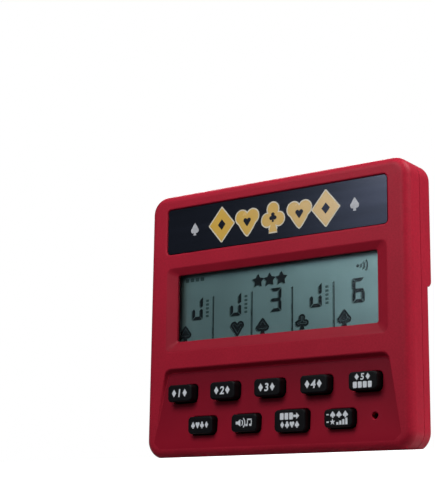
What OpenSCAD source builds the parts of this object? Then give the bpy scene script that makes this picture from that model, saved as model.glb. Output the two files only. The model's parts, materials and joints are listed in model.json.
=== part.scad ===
// Hand-held electronic card game, standing on its lower edge.
// Millimetres. X to the right, Y from front to back, Z up. The origin is the
// middle of the footprint, so the whole object stands on Z = 0.
// Depths are measured backwards from the flat front face of the case.

/* [Case] */
// Width of the case
case_w = 100; // [98:1:106]
// Height of the case, lower edge to upper edge
case_h = 90; // [90:1:94]
// Thickness at the battery end, front face to back face
upper_d = 15.2; // [15.2:0.1:15.8]
// Thickness of the thinner lower end
lower_d = 12.8; // [12.8:0.1:13.4]
// Radius of the four corners seen from the front
corner_r = 6; // [6:0.5:7]
// Wall thickness of the sides
wall = 2.0; // [1.8:0.1:2.0]
// Radius of the edge round the front face
front_round = 2.9; // [2.4:0.1:2.9]
// Radius of the edge round the back face
back_round = 1.5; // [1.0:0.1:1.6]

/* [Banner] */
// Width of the printed banner panel
banner_w = 85; // [80:0.5:86]
// Height of the printed banner panel
banner_h = 15.5; // [14.5:0.1:15.8]

/* [Display] */
// Width of the display opening
display_w = 76.8; // [74:0.2:77]
// Height of the display opening
display_h = 22.8; // [21:0.2:23]
// How far the sloping surround runs in before the opening
bezel_d = 1.3; // [1.1:0.1:1.4]

/* [Keypad] */
// Spacing of the keys along a row
key_pitch = 17.25; // [17:0.05:17.4]
// Width of a key top
key_w = 9.8; // [9.2:0.1:10]
// Height of a key top
key_h = 5.6; // [5.2:0.1:5.8]
// Height of the larger deal key
deal_h = 6.8; // [6.4:0.1:7]
// Width of the larger deal key
deal_w = 11.4; // [11:0.1:11.6]
// How far the key tops stand in front of the case
key_proud = 2.0; // [1.6:0.1:2.2]
// Depth of the keypad hollow at its top edge
hollow_d = 1.8; // [1.4:0.1:1.9]
// Diameter of the reset pinhole
pinhole_dia = 2.1; // [1.8:0.1:2.2]

/* [Battery door] */
// Width of the sliding battery door
door_w = 56; // [56:0.5:57]
// Number of thumb grooves across the door
door_grooves = 5; // [3:1:6]

/* [Hidden] */
// Smoothness of arcs
$fn = 40;
fine = 64;
eps = 0.01;

// Depth of the front face and of the joint between the two case halves
face_y = -(upper_d - key_proud) / 2;
joint_d = 7.6;
front_wall = 2.2;
keypad_wall = 3.8;
back_wall = 1.8;
step_z = case_h - 39.6;
step_run = 2.4;
joint_lip = 0.8;
lip_gap = 0.1;

// Heights above the lower edge
banner_z = case_h - 13.25;
display_z = case_h - 40;
bezel_w = display_w + 7.7;
bezel_h = display_h + 5.8;
bezel_z = display_z - 0.45;
row_1_z = case_h - 69.1;
row_2_z = case_h - 79.9;
hollow_top = case_h - 60.6;
hollow_foot = 5.0;
hollow_half_top = 42.3;
hollow_lean = 9.5;
hollow_slope = 1.2;
hollow_r = 2.5;

// Banner panel
banner_sink = 0.9;
banner_t = 0.5;
banner_r = 1.2;

// Display stack, as depths
window_d = front_wall;
window_t = 0.8;
gasket_t = 0.3;
glass_t = 0.7;
cell_d = window_d + window_t + gasket_t;
cell_gap = 0.05;
cell_w = 80;
cell_h = 27.6;
cell_z = case_h - 41;
ledge = 3;
reflector_t = 0.2;
frame_d = 3.4;
frame_w = 84;

// Circuit board
board_d = 8.0;
board_t = 1.2;
board_w = 92;
board_foot = 3.4;
board_top = case_h - 27.8;
board_screw_x = 44;
board_screw_z = [case_h - 30, case_h - 54, 15.5];

// Keys
key_r = 1.3;
key_round = 0.5;
flange_d = 4.0;
flange_t = 1.2;
flange_lap = 1.1;
plunger_d = 6.75;
pill_t = 0.3;
pill_r = 1.6;
key_gap = 0.35;
sheet_t = 1.2;

// Reset switch
reset_x = 37.3;
reset_z = case_h - 79.5;
reset_body = 4.4;
reset_body_d = 5.4;
reset_tip_d = 4.6;
reset_tip_r = 1.2;

// Case screws
case_screw_x = 43.5;
case_screw_z = [7, case_h - 7];
boss_r = 2.5;
shank_r = 1.0;
shank_gap = 0.03;
seat_d = 9.0;
seat_t = 1.2;
well_r = 2.3;
well_wall = 1.0;

// Battery bay
cell_r = 5.25;
battery_len = 44.5;
bay_half = 26.3;
bay_wall = 0.8;
bay_foot = case_h - 25.4;
bay_top = case_h - 3.9;
bay_floor_d = 2.5;
battery_z = [bay_foot + 5.35, bay_top - 5.4];
battery_d = bay_floor_d + bay_wall + 0.05 + cell_r;
lead_d = 5.8;
door_t = 1.3;
door_d = upper_d - door_t;
door_foot = case_h - 27.4;
door_gap = 0.12;
tongue_t = 0.6;
tongue_w = 0.9;

// Sounder
buzzer_x = -26;
buzzer_z = 21;
buzzer_r = 10;
buzzer_floor = lower_d - back_wall;

// Colours used in the plain view
red = [0.62, 0.1, 0.13];
dark = [0.06, 0.06, 0.07];
steel = [0.72, 0.72, 0.72];

// ---- helpers ----

// Turns a shape drawn in the XZ plane (as X, Y) into a plate from depth a to b.
module plate(a, b)
  translate([0, face_y + b, 0])
    rotate([90, 0, 0])
      linear_extrude(b - a) children();

// Turns a section drawn as [height, depth] into a bar from x = a to x = b.
module bar(a, b)
  translate([a, face_y, 0])
    rotate([90, 0, 90])
      linear_extrude(b - a) mirror([1, -1]) children();

// Rounded rectangle centred on [x, z].
module panel(w, h, r, x = 0, z = 0)
  translate([x, z]) {
    square([w - 2 * r, h], center = true);
    square([w, h - 2 * r], center = true);
    for (sx = [-1, 1], sz = [-1, 1])
      translate([sx * (w / 2 - r), sz * (h / 2 - r)]) circle(r);
  }

// Outline of the case seen from the front, drawn in by an inset.
module outline(inset)
  panel(case_w - 2 * inset, case_h - 2 * inset, corner_r - inset, 0, case_h / 2);

// Section of a slab edge: radial distance across, depth up.
module edge_section(r, d, rf, rb)
  union() {
    square([r - max(rf, rb), d]);
    translate([0, rf]) square([r, d - rf - rb]);
    if (rf > 0)
      translate([r - rf, rf]) circle(rf);
    if (rb > 0)
      translate([r - rb, d - rb]) circle(rb);
    square([r - rf, d - rb]);
    translate([0, rf]) square([r - rb, d - rf]);
  }

// Slab with rounded corners and rounded front and back edges, from depth a to b.
module slab(w, h, r, a, b, rf, rb, z) {
  d = b - a;
  translate([0, face_y + a, z]) {
    for (sx = [-1, 1], sz = [-1, 1])
      translate([sx * (w / 2 - r), 0, sz * (h / 2 - r)])
        rotate([-90, 0, 0])
          rotate_extrude() edge_section(r, d, rf, rb);
    for (s = [0, 180])
      rotate([0, s, 0])
        translate([w / 2 - r, 0, -(h / 2 - r)])
          linear_extrude(h - 2 * r) edge_section(r, d, rf, rb);
    for (s = [-90, 90])
      rotate([0, s, 0])
        translate([h / 2 - r, 0, -(w / 2 - r)])
          linear_extrude(w - 2 * r) edge_section(r, d, rf, rb);
    translate([-(w / 2 - r), 0, -(h / 2 - r)]) cube([w - 2 * r, d, h - 2 * r]);
  }
}

// Post or hole along Y from depth a to b.
module post(r, a, b, x, z)
  translate([x, face_y + a, z])
    rotate([-90, 0, 0]) cylinder(r = r, h = b - a);

// Wire of round section swept along a list of points, with eight sides.
module wire(path, r, up) {
  n = len(path);
  sides = 8;
  function tangent(i) =
    let (v = path[min(i + 1, n - 1)] - path[max(i - 1, 0)]) v / norm(v);
  function across(i) = let (v = cross(tangent(i), up)) v / norm(v);
  points = [
    for (i = [0:n - 1], k = [0:sides - 1])
      let (a = across(i), b = cross(tangent(i), a), t = 360 * k / sides)
        path[i] + r * (cos(t) * a + sin(t) * b)
  ];
  faces = concat(
    [[for (k = [0:sides - 1]) k]],
    [
      for (i = [0:n - 2], k = [0:sides - 1])
        [
          i * sides + k,
          (i + 1) * sides + k,
          (i + 1) * sides + (k + 1) % sides,
          i * sides + (k + 1) % sides
        ]
    ],
    [[for (k = [sides - 1:-1:0]) (n - 1) * sides + k]]
  );
  polyhedron(points, faces, convexity = 4);
}

// Smooth path through a list of corners, as a chain of quadratic curves.
function smooth_path(c, steps = 4) = concat(
  [c[0]],
  [
    for (i = [1:len(c) - 2], k = [0:steps])
      let (
        p = (c[i - 1] + c[i]) / 2,
        q = (c[i] + c[i + 1]) / 2,
        t = k / steps
      )
        (1 - t) * (1 - t) * p + 2 * t * (1 - t) * c[i] + t * t * q
  ],
  [c[len(c) - 1]]
);

function at(x, d, z) = [x, face_y + d, z];

// Centre and size of each key: [x, z, width, height].
function hold_key(i) = [(i - 2) * key_pitch, row_1_z, key_w, key_h];
function low_key(i) = [
  (i - 1.5) * key_pitch,
  row_2_z,
  i == 2 ? deal_w : key_w,
  i == 2 ? deal_h : key_h
];
all_keys = concat(
  [for (i = [0:4]) hold_key(i)],
  [for (i = [0:3]) low_key(i)]
);

// ---- case ----

// Outline of the keypad hollow: a trapezoid with rounded top corners.
module hollow_outline() {
  drop = hollow_top - hollow_foot;
  foot_half = hollow_half_top + drop * tan(hollow_lean);
  cx = hollow_half_top - hollow_r * (1 - sin(hollow_lean)) / cos(hollow_lean);
  tx = cx + hollow_r * cos(hollow_lean);
  tz = hollow_top - hollow_r * (1 - sin(hollow_lean));
  polygon([
    [-cx, hollow_top],
    [cx, hollow_top],
    [tx, tz],
    [foot_half, hollow_foot],
    [-foot_half, hollow_foot],
    [-tx, tz]
  ]);
  for (s = [-1, 1])
    translate([s * cx, hollow_top - hollow_r]) circle(hollow_r);
}

// Wedge-shaped hollow round the keys, deepest at its top edge.
module keypad_hollow()
  intersection() {
    plate(-1, hollow_d + 1) hollow_outline();
    bar(-case_w / 2, case_w / 2)
      polygon([
        [hollow_top + hollow_slope, -hollow_d],
        [hollow_top - hollow_slope, hollow_d],
        [hollow_foot, 0],
        [hollow_foot, -hollow_d]
      ]);
  }

// Sloping surround of the display.
module display_slope() {
  run_x = (bezel_w - display_w) / 2;
  intersection() {
    bar(-case_w / 2, case_w / 2)
      polygon([
        [2 * (bezel_z - bezel_h / 2) - (display_z - display_h / 2), -bezel_d],
        [2 * (bezel_z + bezel_h / 2) - (display_z + display_h / 2), -bezel_d],
        [display_z + display_h / 2, bezel_d],
        [display_z - display_h / 2, bezel_d]
      ]);
    translate([0, face_y, display_z - case_h])
      linear_extrude(2 * case_h)
        polygon([
          [-bezel_w / 2 - run_x, -bezel_d],
          [bezel_w / 2 + run_x, -bezel_d],
          [display_w / 2, bezel_d],
          [-display_w / 2, bezel_d]
        ]);
  }
}

module front_shell()
  color(red)
  difference() {
    union() {
      difference() {
        slab(case_w, case_h, corner_r, 0, joint_d, front_round, 0, case_h / 2);
        // hollow inside, thicker behind the keypad
        plate(front_wall, joint_d + 1)
          intersection() {
            outline(wall);
            translate([-case_w / 2, hollow_top + 1.6]) square(case_w);
          }
        plate(keypad_wall, joint_d + 1) outline(wall);
      }
      for (sx = [-1, 1], z = case_screw_z)
        post(boss_r, front_wall - eps, seat_d, sx * case_screw_x, z);
      for (sx = [-1, 1], z = board_screw_z)
        post(1.6, front_wall - eps, board_d, sx * board_screw_x, z);
    }
    plate(-1, banner_sink) panel(banner_w + 0.4, banner_h + 0.4, banner_r + 0.2, 0, banner_z);
    display_slope();
    plate(0, front_wall + 1) panel(display_w, display_h, 0.8, 0, display_z);
    keypad_hollow();
    for (k = all_keys)
      plate(-1, keypad_wall + 1)
        panel(k[2] + 2 * key_gap, k[3] + 2 * key_gap, key_r + key_gap, k[0], k[1]);
    post(pinhole_dia / 2, -1, keypad_wall + 1, reset_x, reset_z);
    for (sx = [-1, 1], z = case_screw_z)
      post(shank_r + shank_gap, 4, seat_d + 1, sx * case_screw_x, z);
    for (sx = [-1, 1], z = board_screw_z)
      post(0.8 + shank_gap, 4.4, board_d + 1, sx * board_screw_x, z);
  }

// Outer body of the back half: thin below, thicker at the battery end.
module back_body()
  union() {
    slab(case_w, case_h, corner_r, joint_d, lower_d, 0, back_round, case_h / 2);
    intersection() {
      slab(case_w, case_h, corner_r, joint_d, upper_d, 0, back_round, case_h / 2);
      bar(-case_w, case_w)
        polygon([
          [case_h + 1, joint_d],
          [case_h + 1, upper_d + 1],
          [step_z + step_run, upper_d + 1],
          [step_z + step_run, upper_d],
          [step_z, lower_d],
          [step_z, joint_d]
        ]);
    }
  }

// Opening for the door and its tongues, open at the upper edge of the case.
module door_opening(gap) {
  plate(door_d - gap / 2, upper_d + 1)
    translate([-door_w / 2 - gap, door_foot - gap])
      square([door_w + 2 * gap, case_h]);
  plate(door_d - gap / 2, door_d + tongue_t + gap)
    translate([-door_w / 2 - tongue_w - gap, door_foot - gap])
      square([door_w + 2 * (tongue_w + gap), case_h]);
}

module back_shell()
  color(red)
  difference() {
    union() {
      difference() {
        back_body();
        plate(joint_d - 1, lower_d - back_wall) outline(wall);
        plate(joint_d - 1, upper_d - back_wall)
          intersection() {
            outline(wall);
            translate([-case_w / 2, step_z + step_run + 0.6]) square(case_w);
          }
      }
      // locating lip inside the front half
      plate(joint_d - 1, joint_d + 1)
        difference() {
          outline(wall + lip_gap);
          outline(wall + lip_gap + joint_lip);
        }
      plate(joint_d, joint_d + 1)
        difference() {
          outline(wall - 0.5);
          outline(wall + lip_gap + joint_lip);
        }
      // battery bay box
      plate(bay_floor_d, door_d)
        translate([-bay_half - bay_wall, bay_foot - bay_wall])
          square([2 * (bay_half + bay_wall), bay_top - bay_foot + 2 * bay_wall]);
      // side rails that the door tongues run under
      plate(door_d - 1.1, door_d)
        translate([-door_w / 2 - 2.2, door_foot - 1.2])
          square([door_w + 4.4, case_h - wall - door_foot + 1.2]);
      // screw wells
      for (sx = [-1, 1]) {
        post(well_r + well_wall, seat_d, lower_d - 1, sx * case_screw_x, case_screw_z[0]);
        post(well_r + well_wall, seat_d, upper_d - 1, sx * case_screw_x, case_screw_z[1]);
      }
    }
    door_opening(door_gap);
    plate(bay_floor_d + bay_wall, upper_d)
      translate([-bay_half, bay_foot])
        square([2 * bay_half, bay_top - bay_foot]);
    for (sx = [-1, 1], z = case_screw_z) {
      post(shank_r + 0.2, seat_d - 1, upper_d, sx * case_screw_x, z);
      post(well_r, seat_d + seat_t, upper_d + 1, sx * case_screw_x, z);
    }
    // notches for the two battery leads
    for (z = battery_z)
      translate([-bay_half - bay_wall - 1, face_y + lead_d - 0.8, z - 1])
        cube([bay_wall + 2, 1.6, 2]);
    // sound chamber and its holes
    post(buzzer_r - 1, buzzer_floor - eps, buzzer_floor + 0.8, buzzer_x, buzzer_z);
    post(0.75, buzzer_floor, lower_d + 1, buzzer_x, buzzer_z);
    for (a = [0:72:359])
      post(
        0.75, buzzer_floor, lower_d + 1,
        buzzer_x + 4 * cos(a), buzzer_z + 4 * sin(a)
      );
  }

module battery_door()
  color(red)
  difference() {
    union() {
      intersection() {
        back_body();
        plate(door_d, upper_d + 1)
          translate([-door_w / 2, door_foot]) square([door_w, case_h]);
      }
      plate(door_d, door_d + tongue_t)
        translate([-door_w / 2 - tongue_w, door_foot])
          square([door_w + 2 * tongue_w, case_h - door_foot - 2]);
    }
    for (i = [0:door_grooves - 1])
      translate([-11, face_y + upper_d - 0.35, door_foot + 3 + 2 * i])
        cube([22, 1, 0.9]);
  }

module case_screws()
  color(steel)
  for (sx = [-1, 1], z = case_screw_z) {
    post(shank_r, 4.4, seat_d + seat_t + eps, sx * case_screw_x, z);
    difference() {
      post(2.0, seat_d + seat_t, seat_d + seat_t + 1.5, sx * case_screw_x, z);
      for (r = [0, 90])
        translate([sx * case_screw_x, face_y + seat_d + seat_t + 1.6, z])
          rotate([0, r, 0]) cube([2.4, 1.6, 0.5], center = true);
    }
  }

// ---- banner and display ----

module banner_panel()
  color(dark)
  plate(banner_sink - banner_t, banner_sink)
    panel(banner_w, banner_h, banner_r, 0, banner_z);

module display_window()
  color([0.8, 0.85, 0.85])
  plate(window_d, window_d + window_t)
    panel(cell_w + 1, 26.6, 0.8, 0, display_z);

module display_gasket()
  color(dark)
  plate(window_d + window_t, cell_d)
    difference() {
      panel(cell_w, 26, 0.8, 0, display_z);
      panel(display_w + 0.3, display_h + 0.3, 0.5, 0, display_z);
    }

module lcd_front_glass()
  color([0.6, 0.66, 0.62])
  plate(cell_d, cell_d + glass_t)
    panel(cell_w, cell_h, 0.3, 0, cell_z);

module lcd_rear_glass()
  color([0.55, 0.6, 0.57])
  plate(cell_d + glass_t + cell_gap, cell_d + 2 * glass_t + cell_gap)
    panel(cell_w, cell_h - ledge, 0.3, 0, cell_z + ledge / 2);

module lcd_reflector()
  color([0.45, 0.5, 0.48])
  translate([0, 2 * glass_t + cell_gap, 0])
    plate(cell_d, cell_d + reflector_t)
      panel(cell_w - 1, cell_h - ledge - 1, 0.3, 0, cell_z + ledge / 2);

// Frame that holds the glass to the window and clear of the board.
module display_frame()
  color([0.85, 0.85, 0.82])
  difference() {
    plate(frame_d, board_d)
      panel(frame_w, cell_h + 1.6, 1, 0, cell_z - 0.1);
    plate(frame_d - 1, cell_d + 2 * glass_t + cell_gap + reflector_t + 0.05)
      panel(cell_w + 0.3, cell_h + 0.3, 0.3, 0, cell_z);
    plate(frame_d, board_d + 1)
      panel(cell_w - 6, cell_h - ledge - 5, 1, 0, cell_z + ledge / 2);
    plate(frame_d, board_d + 1)
      translate([-cell_w / 2 + 1.5, cell_z - cell_h / 2 + 0.2])
        square([cell_w - 3, 2.5]);
  }

// Striped rubber connector between the glass ledge and the board.
module contact_strip()
  color([0.75, 0.6, 0.6])
  translate([0, face_y + cell_d + glass_t, 0])
    translate([-cell_w / 2 + 2, 0, cell_z - cell_h / 2 + 0.45])
      cube([cell_w - 4, board_d - cell_d - glass_t, 2.0]);

// ---- electronics ----

module board_outline()
  difference() {
    translate([-board_w / 2, board_foot])
      square([board_w, board_top - board_foot]);
    for (s = [-1, 1])
      translate([s * board_w / 2, board_foot])
        square([12.4, 16.4], center = true);
  }

module circuit_board()
  color([0.1, 0.35, 0.2])
  plate(board_d, board_d + board_t)
    difference() {
      board_outline();
      for (sx = [-1, 1], z = board_screw_z)
        translate([sx * board_screw_x, z]) circle(0.95);
    }

module board_screws()
  color(steel)
  for (sx = [-1, 1], z = board_screw_z) {
    post(0.8, 4.6, board_d + board_t + eps, sx * board_screw_x, z);
    post(1.5, board_d + board_t, board_d + board_t + 0.9, sx * board_screw_x, z);
  }

// Black resin dome over the chip, on the back of the board.
module chip_cover()
  color(dark)
  translate([6, face_y + board_d + board_t, 27])
    rotate([-90, 0, 0])
      rotate_extrude()
        intersection() {
          translate([0, -21.72]) circle(22.82, $fn = 200);
          square([9, 2]);
        }

module resistor()
  color([0.75, 0.65, 0.45])
  translate([22, face_y + board_d + board_t + 0.85, 38])
    rotate([0, 90, 0]) {
      cylinder(r = 0.8, h = 4, center = true);
      cylinder(r = 0.25, h = 8, center = true);
      for (s = [-1, 1])
        translate([0, 0, s * 3.75])
          rotate([90, 0, 0]) cylinder(r = 0.25, h = 0.85);
    }

module capacitors()
  color([0.8, 0.5, 0.2])
  for (x = [-8, 28])
    post(2.0, board_d + board_t, board_d + board_t + 1.3, x, 45);

module keypad_sheet()
  color(dark)
  plate(board_d - sheet_t, board_d)
    difference() {
      translate([-40, 3.8]) square([80, cell_z - cell_h / 2 - 1.4 - 3.8]);
      for (k = all_keys)
        panel(k[2] - 0.9, k[3] - 0.4, 0.6, k[0], k[1]);
      translate([reset_x - 3.2, 0]) square([6, reset_z + 3.4]);
    }

// One key: top, stop flange behind the case wall, and plunger.
module key(k)
  color(dark) {
    translate([k[0], 0, 0])
      slab(k[2], k[3], key_r, -key_proud, flange_d + eps, key_round, 0, k[1]);
    plate(flange_d, flange_d + flange_t)
      panel(k[2] + 2 * flange_lap, k[3] + 2 * flange_lap, key_r + 0.5, k[0], k[1]);
    plate(flange_d + flange_t - eps, plunger_d)
      panel(k[2] - 2, k[3] - 1.6, 0.5, k[0], k[1]);
  }

// Carbon contact pill under a key.
module pill(k)
  color([0.15, 0.15, 0.15])
  post(pill_r, plunger_d, plunger_d + pill_t, k[0], k[1]);

module key_1() key(hold_key(0));
module key_2() key(hold_key(1));
module key_3() key(hold_key(2));
module key_4() key(hold_key(3));
module key_5() key(hold_key(4));
module key_game() key(low_key(0));
module key_sound() key(low_key(1));
module key_deal() key(low_key(2));
module key_score() key(low_key(3));

module pill_1() pill(hold_key(0));
module pill_2() pill(hold_key(1));
module pill_3() pill(hold_key(2));
module pill_4() pill(hold_key(3));
module pill_5() pill(hold_key(4));
module pill_game() pill(low_key(0));
module pill_sound() pill(low_key(1));
module pill_deal() pill(low_key(2));
module pill_score() pill(low_key(3));

module reset_switch()
  color(steel)
  difference() {
    plate(reset_body_d, board_d)
      panel(reset_body, reset_body, 0.3, reset_x, reset_z);
    post(reset_tip_r + 0.05, reset_body_d - 1, board_d - 0.8, reset_x, reset_z);
  }

module reset_plunger()
  color(dark)
  post(reset_tip_r, reset_tip_d, board_d - 1.2, reset_x, reset_z);

// ---- sounder ----

module buzzer_disc()
  color([0.85, 0.7, 0.3])
  post(buzzer_r, buzzer_floor - 0.2, buzzer_floor, buzzer_x, buzzer_z);

module buzzer_ceramic()
  color([0.9, 0.9, 0.86])
  post(buzzer_r * 0.7, buzzer_floor - 0.4, buzzer_floor - 0.2, buzzer_x, buzzer_z);

module buzzer_leads()
  color([0.8, 0.1, 0.1])
  for (i = [0, 1])
    wire(
      smooth_path([
        at(buzzer_x + 4 + i * 4.5, buzzer_floor - 0.75 + i * 0.2, buzzer_z + 2),
        at(buzzer_x + 9 + i * 4, buzzer_floor - 0.75, buzzer_z + 5),
        at(buzzer_x + 13 + i * 3, buzzer_floor - 0.8, buzzer_z + 12),
        at(buzzer_x + 13 + i * 3, board_d + board_t + 0.35, buzzer_z + 18)
      ]),
      0.33, [0, 1, 0]
    );

// ---- batteries ----

// One AAA cell lying along X. Side 1 has its button to the right.
module battery(z, side)
  color([0.2, 0.35, 0.25])
  translate([0, face_y + battery_d, z])
    rotate([0, 90 * side, 0])
      translate([0, 0, -battery_len / 2]) {
        cylinder(r = cell_r, h = battery_len - 1, $fn = fine);
        cylinder(r = 1.9, h = battery_len);
      }

module battery_upper() battery(battery_z[1], 1);
module battery_lower() battery(battery_z[0], -1);

// Cone of spring wire reaching from a contact plate to the flat end of a cell.
module contact_spring(z, side) {
  turns = 4;
  per_turn = 12;
  reach = bay_half - 0.35 - battery_len / 2 - 0.3;
  wire(
    [
      for (i = [0:turns * per_turn])
        let (
          f = i / (turns * per_turn),
          a = 360 * i / per_turn,
          r = 3.6 - 1.4 * f
        )
          [
            side * (bay_half - 0.35 - reach * f),
            face_y + battery_d + r * cos(a),
            z + r * sin(a)
          ]
    ],
    0.25, [1, 0, 0]
  );
}

// Flat spring-steel plate against an end wall of the bay.
module contact_plate(side, z0, z1)
  translate([
    side > 0 ? bay_half - 0.4 : -bay_half,
    face_y + battery_d - 3.6,
    z0
  ])
    cube([0.4, 7.2, z1 - z0]);

// Pressed dimple that reaches the button of a cell.
module contact_dimple(side, z)
  translate([side * (bay_half - 0.3), face_y + battery_d, z])
    rotate([0, -90 * side, 0])
      cylinder(r = 2.2, h = bay_half - 0.3 - battery_len / 2 - 0.05);

module contact_bridge()
  color(steel) {
    contact_plate(1, battery_z[0] - 4.2, battery_z[1] + 4.2);
    contact_dimple(1, battery_z[1]);
    contact_spring(battery_z[0], 1);
  }

module contact_positive()
  color(steel) {
    contact_plate(-1, battery_z[0] - 4.2, battery_z[0] + 4.2);
    contact_dimple(-1, battery_z[0]);
  }

module contact_negative()
  color(steel) {
    contact_plate(-1, battery_z[1] - 4.2, battery_z[1] + 4.2);
    contact_spring(battery_z[1], -1);
  }

// Lead from a contact plate, out through its notch, to the back of the board.
module lead(z, x)
  wire(
    smooth_path([
      at(-bay_half, lead_d, z),
      at(-bay_half - 3, lead_d, z),
      at(x, lead_d + 0.6, z - 1),
      at(x, 11.2, board_top + 2),
      at(x, 11.2, board_top - 5),
      at(x, board_d + board_t + 0.5, board_top - 9)
    ]),
    0.45, [0.4, 1, 0]
  );

module lead_red()
  color([0.8, 0.1, 0.1])
  lead(battery_z[0], -34);

module lead_black()
  color(dark)
  lead(battery_z[1], -38.5);

// ---- assembly ----

front_shell();
back_shell();
battery_door();
banner_panel();
display_window();
display_gasket();
lcd_front_glass();
lcd_rear_glass();
lcd_reflector();
display_frame();
contact_strip();
circuit_board();
chip_cover();
resistor();
capacitors();
keypad_sheet();
key_1();
key_2();
key_3();
key_4();
key_5();
key_game();
key_sound();
key_deal();
key_score();
pill_1();
pill_2();
pill_3();
pill_4();
pill_5();
pill_game();
pill_sound();
pill_deal();
pill_score();
reset_switch();
reset_plunger();
buzzer_disc();
buzzer_ceramic();
buzzer_leads();
battery_upper();
battery_lower();
contact_bridge();
contact_positive();
contact_negative();
lead_red();
lead_black();
case_screws();
board_screws();
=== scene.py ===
"""Looks of a hand-held electronic card game, built round its CAD frame.

Lengths in the shape code are millimetres in the row frame: x to the right, z up, and d the depth behind the
flat front face of the case. They become metres when a mesh is made.
"""

import json
import math

import bmesh
import bpy
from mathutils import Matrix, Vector
from mathutils.geometry import delaunay_2d_cdt


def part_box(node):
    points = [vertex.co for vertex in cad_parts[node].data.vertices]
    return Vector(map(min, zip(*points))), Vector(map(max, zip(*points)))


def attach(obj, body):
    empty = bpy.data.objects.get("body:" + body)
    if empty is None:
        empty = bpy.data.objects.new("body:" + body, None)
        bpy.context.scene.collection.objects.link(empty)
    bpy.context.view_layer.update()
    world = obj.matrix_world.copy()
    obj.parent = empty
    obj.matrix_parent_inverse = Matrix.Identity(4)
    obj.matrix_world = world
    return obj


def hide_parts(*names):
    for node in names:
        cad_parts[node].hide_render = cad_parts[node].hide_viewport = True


MM = 0.001

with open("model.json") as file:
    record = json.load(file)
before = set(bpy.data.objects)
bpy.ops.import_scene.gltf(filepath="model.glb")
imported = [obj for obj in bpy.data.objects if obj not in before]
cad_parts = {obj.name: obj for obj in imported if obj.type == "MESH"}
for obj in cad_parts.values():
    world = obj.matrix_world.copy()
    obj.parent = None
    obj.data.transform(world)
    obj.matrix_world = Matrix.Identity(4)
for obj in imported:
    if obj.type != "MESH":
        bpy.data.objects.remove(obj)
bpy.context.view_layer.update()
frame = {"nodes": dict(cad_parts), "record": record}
nodes = frame["nodes"]


def box_mm(node):
    """Low and high corner of a CAD node, in millimetres."""
    low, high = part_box(node)
    return low / MM, high / MM


case_low, case_high = box_mm("front_shell")
FACE = case_low.y
CASE_W = case_high.x - case_low.x
CASE_H = case_high.z - case_low.z
WALL = 2.0
CORNER = 6.0
FRONT_ROUND = 2.9
# depth of the joint between the two halves of the case
JOINT_D = 7.6
# thickness of the front wall above and below the height SPLIT_Z
FRONT_WALL = 2.2
KEYPAD_WALL = 3.8
SPLIT_Z = 31.0
# keypad hollow: upper end of its floor, upper lip, lower end and depth, then half its width at lip and foot
HOLLOW_TOP = 28.2
HOLLOW_LIP = 29.4
HOLLOW_FOOT = 5.0
HOLLOW_D = 1.8
HOLLOW_HALF = 42.3
HOLLOW_FOOT_HALF = 46.38
# points closer together than this, in metres, become one
WELD_M = 2e-6


# ---- mesh helpers ----


def place(x, d, z):
    """A point in metres from millimetres and depth."""
    return Vector((x * MM, (FACE + d) * MM, z * MM))


def new_piece(name, verts, faces, material, body, smooth=True):
    """Makes a mesh piece from points [x, d, z] in millimetres, which rides on a CAD body."""
    mesh = bpy.data.meshes.new(name)
    mesh.from_pydata([place(*v) for v in verts], [], faces)
    mesh.validate()
    bm = bmesh.new()
    bm.from_mesh(mesh)
    bmesh.ops.remove_doubles(bm, verts=bm.verts, dist=WELD_M)
    bmesh.ops.recalc_face_normals(bm, faces=bm.faces)
    for face in bm.faces:
        face.smooth = smooth
    bm.to_mesh(mesh)
    bm.free()
    mesh.materials.append(material)
    piece = bpy.data.objects.new(name, mesh)
    bpy.context.scene.collection.objects.link(piece)
    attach(piece, body)
    return piece


def rounded_rect(x, z, w, h, r, steps=8, split_z=None):
    """Outline of a rounded rectangle, anticlockwise, with an extra point on each side at split_z."""
    points = []
    for quarter, (side_x, side_z) in enumerate(((1, 1), (-1, 1), (-1, -1), (1, -1))):
        corner_x = x + side_x * (w / 2 - r)
        corner_z = z + side_z * (h / 2 - r)
        for i in range(steps + 1):
            angle = math.pi / 2 * (quarter + i / steps)
            points.append((corner_x + r * math.cos(angle), corner_z + r * math.sin(angle)))
        if split_z is not None and quarter == 1:
            points.append((x - w / 2, split_z))
    if split_z is not None:
        points.append((x + w / 2, split_z))
    return points


def ring_of(x, z, r, steps):
    """Outline of a circle."""
    angles = [2 * math.pi * i / steps for i in range(steps)]
    return [(x + r * math.cos(angle), z + r * math.sin(angle)) for angle in angles]


def case_outline(inset, split_z=SPLIT_Z):
    """Outline of the case, drawn in by inset on every side."""
    return rounded_rect(0, CASE_H / 2, CASE_W - 2 * inset, CASE_H - 2 * inset, CORNER - inset, 10, split_z)


def inside(polygon, x, z):
    """Whether a point lies inside an outline."""
    found = False
    for (ax, az), (bx, bz) in zip(polygon, polygon[1:] + polygon[:1]):
        if (az > z) != (bz > z) and x < ax + (z - az) / (bz - az) * (bx - ax):
            found = not found
    return found


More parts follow.
